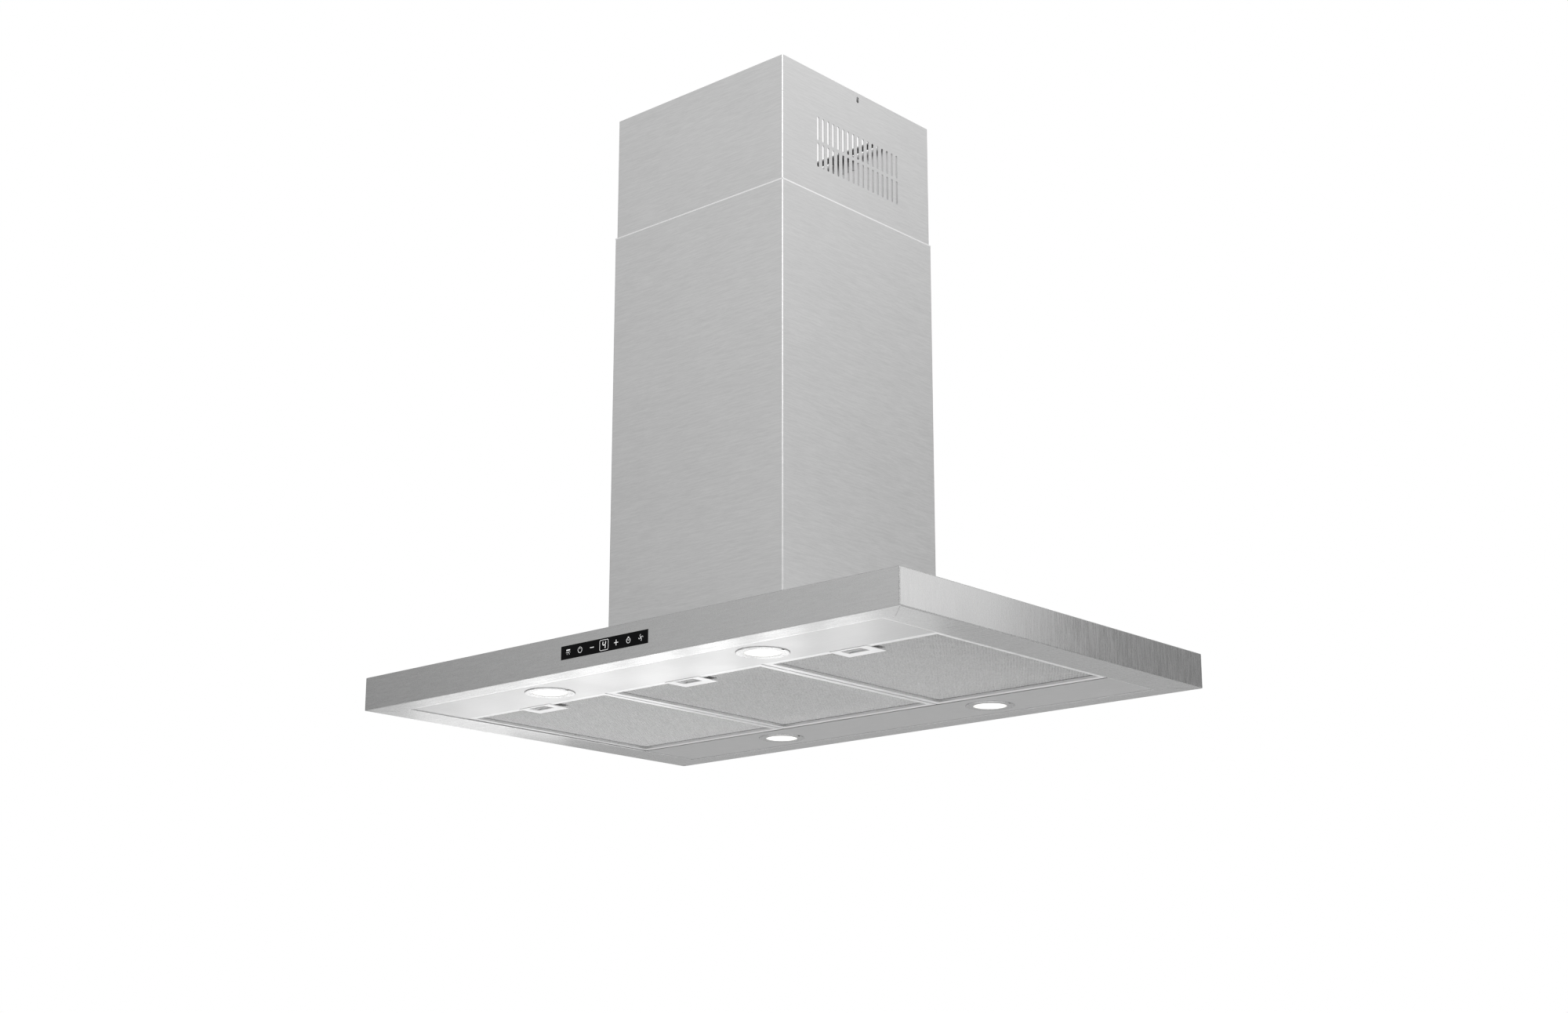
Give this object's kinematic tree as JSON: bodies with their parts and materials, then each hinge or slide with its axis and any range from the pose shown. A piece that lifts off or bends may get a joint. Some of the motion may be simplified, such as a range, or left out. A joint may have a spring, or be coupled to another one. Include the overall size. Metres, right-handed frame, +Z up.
{
  "type": "island range hood",
  "caption": "Ceiling-hung island range hood: telescoping square chimney over a slim rectangular canopy with mesh filters, spot lamps and a touch panel.",
  "frame": {"origin": "centre of the four ceiling bolt slots, on the ceiling plane", "axes": "+Z up to the ceiling, +X to the right seen from the front, the touch panel's side is -Y"},
  "size_m": [0.9, 0.6, 0.796],
  "materials": {
    "cover_steel": "fine horizontal brush",
    "canopy_steel": "fine brush",
    "panel_steel": "satin",
    "galvanised": "zinc coated sheet",
    "filter_aluminium": "satin",
    "mesh_aluminium": "expanded mesh",
    "latch_metal": "satin",
    "slider_plastic": "moulded",
    "spring_steel": "drawn wire",
    "screw_steel": "zinc plated",
    "bezel_metal": "polished",
    "lamp_lens": "frosted, lit",
    "lamp_alloy": "die cast",
    "panel_glass": "black gloss, backed glass",
    "black_plastic": "moulded",
    "grey_plastic": "moulded",
    "board_green": "circuit board",
    "motor_enamel": "enamelled",
    "shaft_steel": "ground",
    "rubber": "moulded",
    "capacitor_case": "moulded"
  },
  "bodies": {
    "ceiling_frame": {"ceiling_bracket": "galvanised", "upper_posts": "galvanised", "upper_frame_strap": "galvanised", "upper_cover": "cover_steel", "upper_cover_hangers": "galvanised", "ceiling_frame_screws": "screw_steel"},
    "hood": {"lower_posts": "galvanised", "lower_frame_brace": "galvanised", "post_bolts": "screw_steel", "height_clamp_screws": "screw_steel", "lower_cover": "cover_steel", "lower_cover_feet": "galvanised", "canopy_shell": "canopy_steel", "light_panel_front": "panel_steel", "light_panel_rear": "panel_steel", "filter_side_rails": "panel_steel", "plenum_wall": "galvanised", "lamp_bezels": "bezel_metal", "lamp_lenses": "lamp_lens", "lamp_bodies": "lamp_alloy", "lamp_clips": "spring_steel", "control_glass": "panel_glass", "control_housing": "black_plastic", "control_board": "board_green", "blower_box": "galvanised", "scroll_left": "black_plastic", "scroll_right": "black_plastic", "inlet_rings": "grey_plastic", "motor": "motor_enamel", "motor_bracket": "galvanised", "motor_bushes": "rubber", "outlet_collar": "black_plastic", "damper_pin": "shaft_steel", "electrics_box": "grey_plastic", "electrics_lid": "grey_plastic", "power_board": "board_green", "run_capacitor": "capacitor_case", "terminal_block": "black_plastic", "cable_gland": "black_plastic", "hood_screws": "screw_steel"},
    "impeller_shaft": {"impeller": "grey_plastic", "motor_shaft": "shaft_steel"},
    "flap_front": {"damper_flap_front": "grey_plastic"},
    "flap_rear": {"damper_flap_rear": "grey_plastic"},
    "filter_left": {"filter_frame_left": "filter_aluminium", "filter_mesh_left": "mesh_aluminium", "latch_housing_left": "latch_metal", "latch_spring_left": "spring_steel"},
    "latch_left": {"latch_slider_left": "slider_plastic"},
    "filter_centre": {"filter_frame_centre": "filter_aluminium", "filter_mesh_centre": "mesh_aluminium", "latch_housing_centre": "latch_metal", "latch_spring_centre": "spring_steel"},
    "latch_centre": {"latch_slider_centre": "slider_plastic"},
    "filter_right": {"filter_frame_right": "filter_aluminium", "filter_mesh_right": "mesh_aluminium", "latch_housing_right": "latch_metal", "latch_spring_right": "spring_steel"},
    "latch_right": {"latch_slider_right": "slider_plastic"}
  },
  "joints": [
    {"name": "height_adjust", "type": "slide", "parent": "ceiling_frame", "child": "hood", "axis": [0, 0, 1], "range_m": [-0.15, 0.04]},
    {"name": "impeller_spin", "type": "hinge", "parent": "hood", "child": "impeller_shaft", "pos_m": [0, -0.012, -0.631], "axis": [1, 0, 0], "continuous": true},
    {"name": "flap_front_lift", "type": "hinge", "parent": "hood", "child": "flap_front", "pos_m": [0, 0, -0.444], "axis": [-1, 0, 0], "range_deg": [0, 75]},
    {"name": "flap_rear_lift", "type": "hinge", "parent": "hood", "child": "flap_rear", "pos_m": [0, 0, -0.444], "axis": [1, 0, 0], "range_deg": [0, 75]},
    {"name": "filter_left_tilt", "type": "hinge", "parent": "hood", "child": "filter_left", "pos_m": [-0.26667, 0.17, -0.7945], "axis": [1, 0, 0], "range_deg": [0, 60]},
    {"name": "latch_left_pull", "type": "slide", "parent": "filter_left", "child": "latch_left", "axis": [0, 1, 0], "range_m": [0, 0.006], "stiffness_N_per_m": 300, "springref_m": -0.004, "deforming": ["latch_spring_left"]},
    {"name": "filter_centre_tilt", "type": "hinge", "parent": "hood", "child": "filter_centre", "pos_m": [0, 0.17, -0.7945], "axis": [1, 0, 0], "range_deg": [0, 60]},
    {"name": "latch_centre_pull", "type": "slide", "parent": "filter_centre", "child": "latch_centre", "axis": [0, 1, 0], "range_m": [0, 0.006], "stiffness_N_per_m": 300, "springref_m": -0.004, "deforming": ["latch_spring_centre"]},
    {"name": "filter_right_tilt", "type": "hinge", "parent": "hood", "child": "filter_right", "pos_m": [0.26667, 0.17, -0.7945], "axis": [1, 0, 0], "range_deg": [0, 60]},
    {"name": "latch_right_pull", "type": "slide", "parent": "filter_right", "child": "latch_right", "axis": [0, 1, 0], "range_m": [0, 0.006], "stiffness_N_per_m": 300, "springref_m": -0.004, "deforming": ["latch_spring_right"]}
  ]
}
